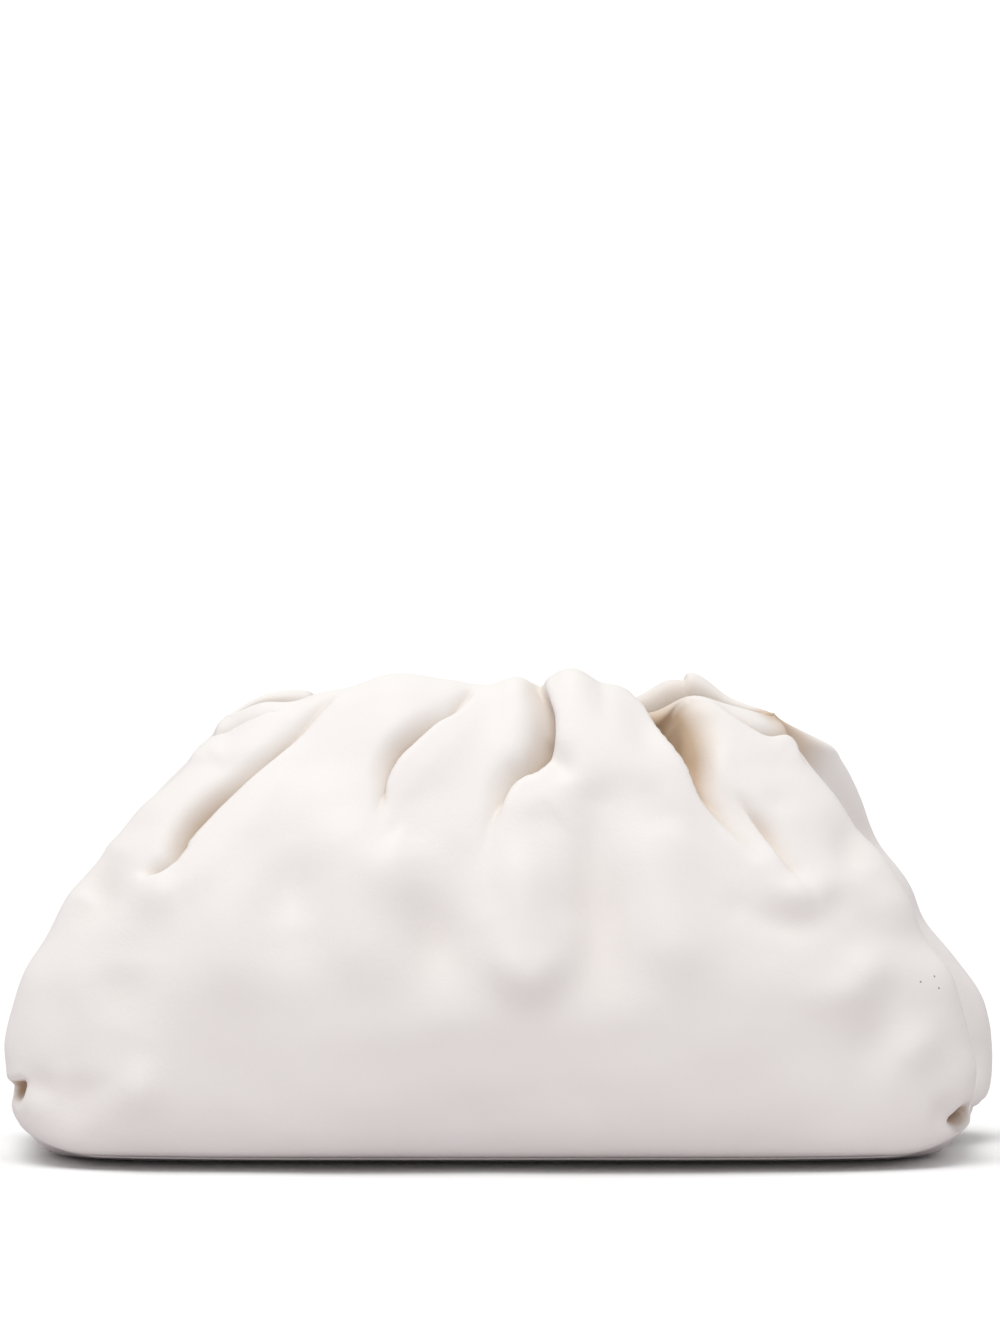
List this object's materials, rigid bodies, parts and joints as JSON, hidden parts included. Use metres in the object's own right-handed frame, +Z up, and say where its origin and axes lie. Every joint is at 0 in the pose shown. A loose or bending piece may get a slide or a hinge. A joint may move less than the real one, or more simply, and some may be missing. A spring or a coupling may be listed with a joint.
{
  "type": "cloud pouch bag",
  "caption": "Large soft leather clutch with a gathered top: two padded-looking panels and a bottom panel, closed over a hidden loop frame in the mouth.",
  "frame": {"origin": "centre of the bottom panel's flat underside", "axes": "+X to the right seen from the front, along the mouth; +Y to the back; +Z up"},
  "size_m": [0.3986, 0.1782, 0.1945],
  "materials": {
    "body_leather": "smooth nappa leather, off-white, softly satin",
    "base_leather": "smooth nappa leather, off-white, softly satin",
    "frame_metal": "plain satin steel"
  },
  "bodies": {
    "root": {"front_panel": "body_leather", "back_panel": "body_leather", "base_panel": "base_leather", "mouth_frame": "frame_metal"}
  },
  "joints": []
}
